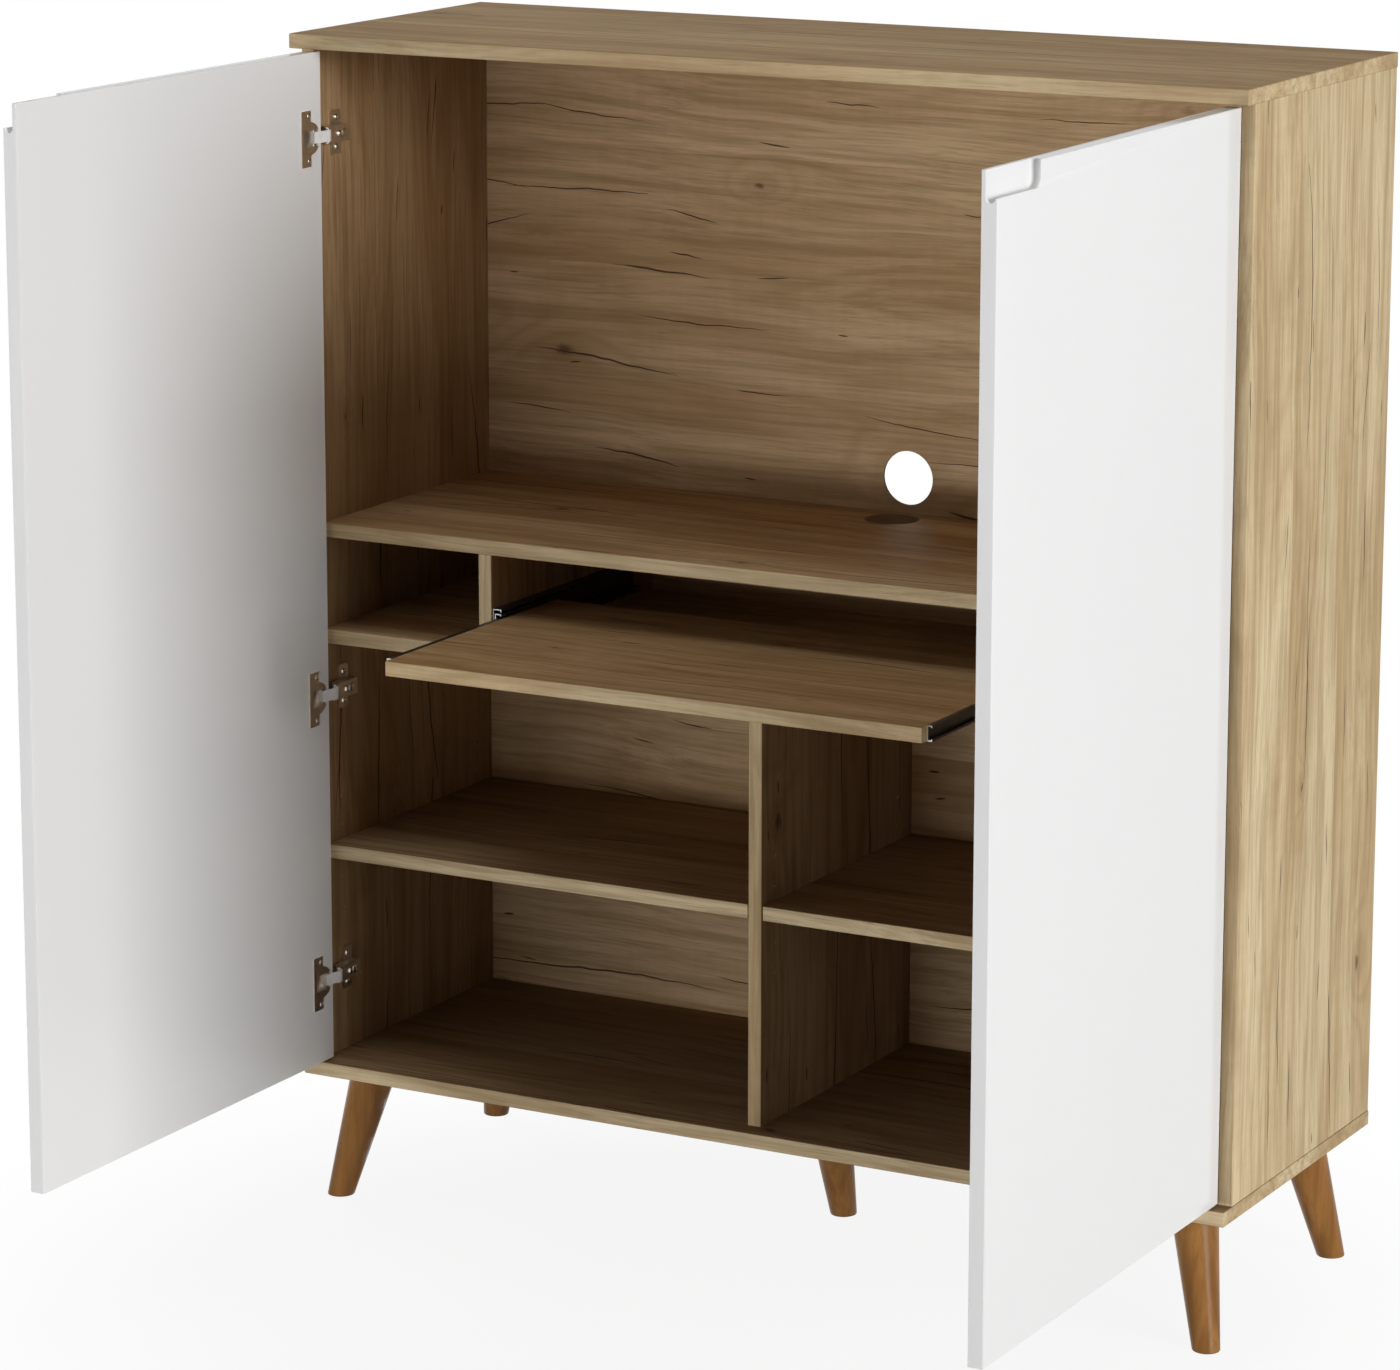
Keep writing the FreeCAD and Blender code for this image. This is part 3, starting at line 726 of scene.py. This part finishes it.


# ---------------------------------------------------------------- finishes of the nodes
# name, turn of the grain, place in the decor, painted shade (painted light on the back) and the way
# that the faces look
oak_of = {
    "top_panel": ("oak top", GRAIN_ALONG_X, (0.31, 0.02, 0.40), TOP_PAINTED_SHADE, ACROSS_Z),
    "bottom_panel": ("oak bottom", GRAIN_ALONG_X, (1.70, 0.05, 0.90), LOW_PAINTED_SHADE, ACROSS_Z),
    "desk_shelf": ("oak desk", GRAIN_ALONG_X, (2.90, 0.03, 0.15), DESK_PAINTED_SHADE, ACROSS_Z),
    "mid_shelf": ("oak middle shelf", GRAIN_ALONG_X, (4.10, 0.07, 1.30), DESK_PAINTED_SHADE, ACROSS_Z),
    "keyboard_tray": ("oak tray", GRAIN_ALONG_X, (5.20, 0.01, 2.10), TRAY_PAINTED_SHADE, ACROSS_Z),
    "lower_shelf_left": ("oak left shelf", GRAIN_ALONG_X, (6.40, 0.04, 2.70), LOW_PAINTED_SHADE, ACROSS_Z),
    "lower_shelf_right": ("oak right shelf", GRAIN_ALONG_X, (7.70, 0.06, 3.30), LOW_PAINTED_SHADE, ACROSS_Z),
    "tray_divider_left":
        ("oak left tray divider", GRAIN_UPRIGHT, (8.10, 0.05, 3.90), SIDE_PAINTED_SHADE, ACROSS_X),
    "tray_divider_right":
        ("oak right tray divider", GRAIN_UPRIGHT, (9.30, 0.02, 4.40), SIDE_PAINTED_SHADE, ACROSS_X),
    "back_panel": ("oak back", GRAIN_ON_BACK, (10.20, 0.03, 5.10), BACK_PAINTED_LIGHT, ACROSS_Y),
}
cable_holes = {
    "desk_shelf": (0.0, back_face - cable_hole_offset, 0.0),
    "back_panel": (0.0, 0.0, desk_top + cable_hole_offset),
}
for node, decor in oak_of.items():
    dress(nodes[node], oak(*decor, hole=cable_holes.get(node)))

nickel = plated("bright nickel plate", NICKEL, roughness=0.12)
zinc = plated("bright zinc plate", ZINC, roughness=0.20, often=DRAWN_ALONG_X)

# finishes by how the nodes' names begin, the first that fits; zinc for the rest
finishes = {
    "door_": door_foil(),
    "legs": leg_wood(),
    # the links' near-white, almost non-metal colour is a painted highlight
    "hinge_link": plated("hinge link plate with painted highlight", LINK_PAINTED_HIGHLIGHT, roughness=0.26, metallic=0.12),
    "hinge_": plated("satin nickel plate", SATIN_NICKEL, roughness=0.24),
    # dark slide steel with a painted highlight on its ends
    "slide_": plated("dark slide steel", SLIDE_SHADE, roughness=0.26, often=DRAWN_ALONG_Y,
                     ends=SLIDE_END_HIGHLIGHT),
}
for node, thing in nodes.items():
    if node not in oak_of:
        fits = [finish for start, finish in finishes.items() if node.startswith(start)]
        dress(thing, fits[0] if fits else zinc)

# ---------------------------------------------------------------- bored boards
for side, sign in SIDES:
    # painted shade on the side boards' inner faces
    finish = oak("oak %s side" % side, GRAIN_UPRIGHT, (11.3 + sign * 0.9, 0.05, 6.2 + sign),
                 SIDE_PAINTED_SHADE, (-sign, 0.0, 0.0), both=False)
    holes = [(place, (sign, 0, 0)) for place in pin_places(sign * side_inner)]
    bored_panel("side_panel_" + side, side + "_side_board", finish, holes)

holes = [(place, (-sign, 0, 0)) for side, sign in SIDES
         for place in pin_places(sign * divider_face)]
# painted shade on both faces of the centre divider
bored_panel("centre_divider", "centre_divider_board",
            oak("oak centre divider", GRAIN_UPRIGHT, (14.6, 0.04, 8.3), LOW_PAINTED_SHADE, ACROSS_X), holes)

# ---------------------------------------------------------------- screws
pan_head = screw_head(radius=3.6 * MM, height=2.2 * MM)
flat_head = screw_head(radius=3.2 * MM, height=1.0 * MM)
cam_head = screw_head(radius=4.8 * MM, height=1.2 * MM, recess=0.7)
joint_head = screw_head(radius=5.0 * MM, height=2.4 * MM, recess=0.45)

# turns of the slots, in radians
CUP_SPIN, PLATE_SPIN, ARM_SPIN, JOINT_SPIN, LEG_SPIN = 0.6, 0.3, 0.4, 0.5, 0.2

for side, sign in SIDES:
    inward = (-sign, 0, 0)
    levels = [sum(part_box("hinge_link_%s_%s" % (side, height)), Vector()).z / 2
              for height in HEIGHTS]
    spots = [facing((sign * cup_face, hinge_edge - cup_screw_inset, level + rise), inward, CUP_SPIN)
             for level in levels for rise in (-cup_screw_rise, cup_screw_rise)]
    copies(flat_head, spots, side + "_cup_screws", nickel, "door_" + side)
    seat = sign * (side_inner - plate_wing)
    spots = [facing((seat, plate_screw_y, level + rise), inward, PLATE_SPIN)
             for level in levels for rise in (-plate_screw_rise, plate_screw_rise)]
    copies(pan_head, spots, side + "_plate_screws", nickel, "carcass")
    for kind, head, y in (("screws", pan_head, arm_screw_y), ("cams", cam_head, arm_cam_y)):
        spots = [facing((sign * arm_roof, y, level), inward, ARM_SPIN) for level in levels]
        copies(head, spots, "%s_arm_%s" % (side, kind), nickel, "carcass")

spots = [facing((x, y, bottom_under), DOWN, JOINT_SPIN)
         for x in (-joint_screw_x, joint_screw_x) for y in (joint_screw_front, joint_screw_back)]
copies(joint_head, spots, "bottom_joint_screws", zinc, "carcass")

leg_plates = [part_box(node) for node in nodes if node.startswith("leg_plate_")]
spots = [facing((x, y, low.z), DOWN, LEG_SPIN) for low, high in leg_plates
         for x in (high.x - leg_screw_inset, low.x + leg_screw_inset)
         for y in (high.y - leg_screw_inset, low.y + leg_screw_inset)]
copies(pan_head, spots, "leg_plate_screws", zinc, "carcass")
discard(pan_head, flat_head, cam_head, joint_head)

# ---------------------------------------------------------------- eased edges
for node in ("top_panel", "bottom_panel", "desk_shelf", "mid_shelf", "lower_shelf_left",
             "lower_shelf_right", "tray_divider_left", "tray_divider_right"):
    eased(node, edging_ease, "carcass")
eased("keyboard_tray", edging_ease, "tray")
eased("door_left", foil_ease, "door_left")
eased("door_right", foil_ease, "door_right")
eased("legs", leg_ease, "carcass")

# ---------------------------------------------------------------- studio
MIDDLE = Vector((0.0, 0.0, 0.65))       # of the armoire, which every lamp looks at
SURROUND_FILL = 0.03
FLOOR_SIZE = 60.0

free_hands()
bpy.ops.mesh.primitive_plane_add(size=FLOOR_SIZE, location=(0, 0, 0))
floor = bpy.context.object
floor.name = "studio_floor"
dress(floor, shadow_floor())

world = bpy.data.worlds.new("studio surround")
bpy.context.scene.world = world
world.use_nodes = True
surround = Graph(world.node_tree)
surround.tree.nodes.clear()
fill = surround.node("Background", {}, {"Color": PLAIN, "Strength": SURROUND_FILL})
shown = surround.node("Background", {}, {"Color": PLAIN, "Strength": 1.0})
blend = surround.node("MixShader", {}, {0: surround.seen(), 1: fill, 2: shown})
surround.node("OutputWorld", {}, {"Surface": blend})


def softbox(name, turn, rise, size, watts, distance=5.0):
    """A lamp round the armoire: turn from +X, rise from level, in degrees."""
    turn = math.radians(turn)
    rise = math.radians(rise)
    level = distance * math.cos(rise)
    toward = Vector((level * math.cos(turn), level * math.sin(turn), distance * math.sin(rise)))
    lamp = bpy.data.lights.new(name, "AREA")
    lamp.shape = "RECTANGLE"
    lamp.size = size[0]
    lamp.size_y = size[1]
    lamp.energy = watts
    thing = placed(name, lamp)
    thing.location = MIDDLE + toward
    thing.rotation_euler = (-toward).to_track_quat("-Z", "Y").to_euler()
    return thing


softbox("key_softbox", turn=-20, rise=10, size=(4.8, 4.8), watts=1190.0, distance=12.0)
strip = softbox("front_strip", turn=-115, rise=-4.6, size=(4.5, 0.4), watts=96.0)
strip.visible_glossy = False    # no bright line in the gloss of the door edges
softbox("overhead_softbox", turn=-90, rise=78, size=(2.0, 2.0), watts=43.0)
softbox("rear_softbox", turn=150, rise=10, size=(2.0, 2.0), watts=80.0)

camera = placed("camera", bpy.data.cameras.new("camera"))
camera.location = (2.5243, -4.6483, 1.8699)
camera.rotation_euler = (math.radians(78.08), 0.0, math.radians(28.873))
camera.data.sensor_fit = "HORIZONTAL"
camera.data.sensor_width = 36.0
camera.data.lens = 135.99
camera.data.shift_x = 0.01524
camera.data.shift_y = -0.0649
bpy.context.scene.camera = camera
bpy.context.scene.view_settings.view_transform = "Standard"
